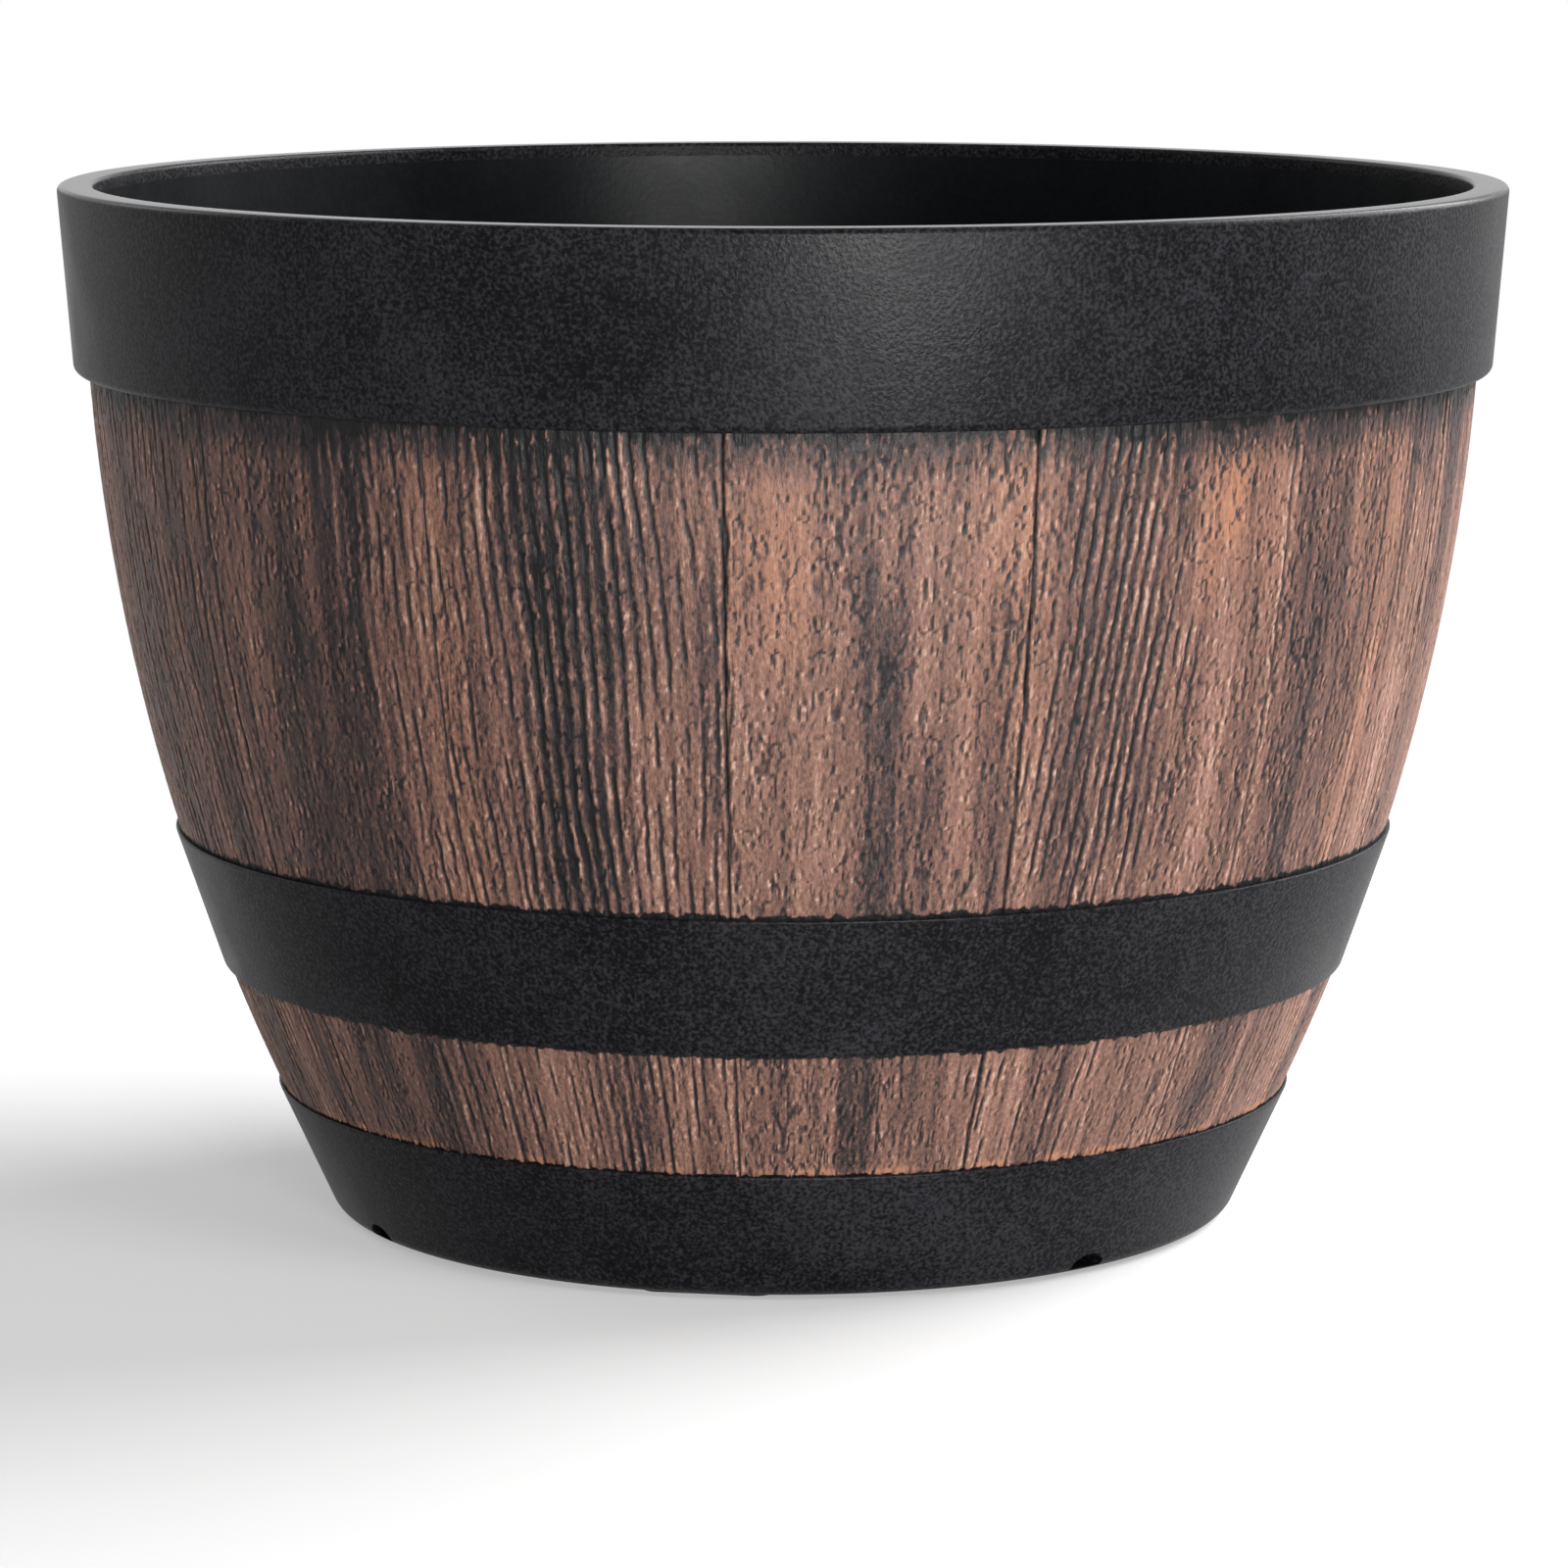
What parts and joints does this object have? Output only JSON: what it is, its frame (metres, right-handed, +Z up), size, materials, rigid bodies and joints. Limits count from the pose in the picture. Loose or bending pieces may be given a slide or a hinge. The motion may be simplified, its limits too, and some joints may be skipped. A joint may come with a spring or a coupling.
{
  "type": "half-barrel garden pot",
  "caption": "Round planter shaped like half a wooden barrel, with staves, rim band, riveted hoop, foot band, raised floor and a pull-out drain plug.",
  "frame": {"origin": "centre of the pot's foot, on the surface that it stands on", "axes": "+Z up along the pot's axis; the side seen in the picture looks along -Y"},
  "size_m": [0.3056, 0.3056, 0.22],
  "materials": {
    "stave_wood_look": "brown paint brushed over black, wood-grain relief",
    "black_band": "black, fine moulded texture, soft sheen",
    "black_rivet": "black, slightly worn heads",
    "black_floor": "black, plain moulded",
    "plug_rubber": "matte black rubber"
  },
  "bodies": {
    "pot": {"barrel_wall": "stave_wood_look", "rim_band": "black_band", "middle_hoop": "black_band", "hoop_rivets": "black_rivet", "foot_band": "black_band", "foot_rivets": "black_rivet", "base_floor": "black_floor"},
    "plug": {"drain_plug": "plug_rubber"}
  },
  "joints": [
    {"name": "drain_plug_pull", "type": "slide", "parent": "pot", "child": "plug", "axis": [0, 0, 1], "range_m": [0, 0.03]}
  ]
}
